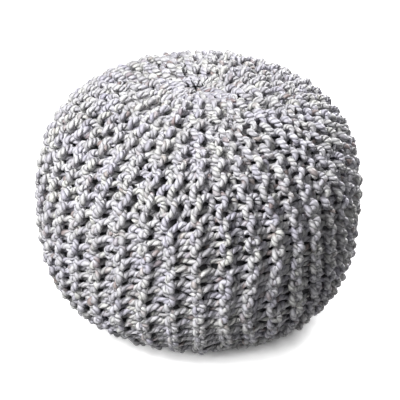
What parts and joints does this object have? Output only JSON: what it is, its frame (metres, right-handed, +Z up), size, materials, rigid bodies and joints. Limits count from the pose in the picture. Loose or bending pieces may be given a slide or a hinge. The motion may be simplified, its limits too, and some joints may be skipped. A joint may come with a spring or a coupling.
{
  "type": "knitted pouf",
  "caption": "Round stuffed floor pouf in thick garter stitch, with ribs running from a drawn-up crown down to a flat foot, used as a seat or footrest.",
  "frame": {"origin": "centre of the flat foot, on the floor", "axes": "+Z up through the drawn-up middle of the crown, -Y towards the picture's view"},
  "size_m": [0.4991, 0.4998, 0.3708],
  "materials": {
    "knit_yarn": "plied grey melange yarn, soft satin sheen"
  },
  "bodies": {
    "root": {"knit_cover": "knit_yarn"}
  },
  "joints": []
}
